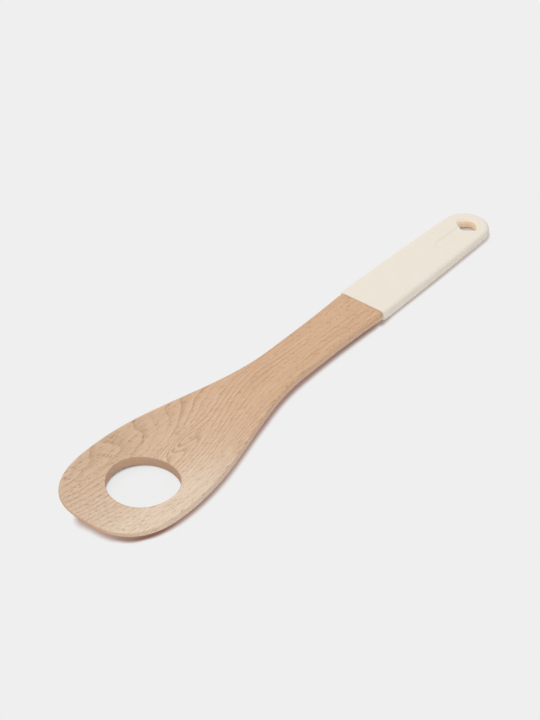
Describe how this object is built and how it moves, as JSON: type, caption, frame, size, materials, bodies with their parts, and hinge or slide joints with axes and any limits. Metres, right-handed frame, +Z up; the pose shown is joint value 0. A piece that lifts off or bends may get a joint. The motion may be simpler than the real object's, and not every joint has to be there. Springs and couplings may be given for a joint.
{
  "type": "salad spoon",
  "caption": "Dished beech salad spoon with a round hole through its egg-shaped bowl and a cream soft-touch sleeve with a hang hole on the handle.",
  "frame": {"origin": "On the plane the spoon lies on, under the middle of its box.", "axes": "+X from the tip of the bowl to the end of the handle, +Y across, +Z up out of the hollow of the bowl."},
  "size_m": [0.31, 0.0612, 0.0119],
  "materials": {
    "beech": "sanded flat-sawn beech, lightly oiled, matt",
    "silicone": "cream moulded silicone, matt"
  },
  "bodies": {
    "root": {"beech_spoon": "beech", "silicone_sleeve": "silicone"}
  },
  "joints": []
}
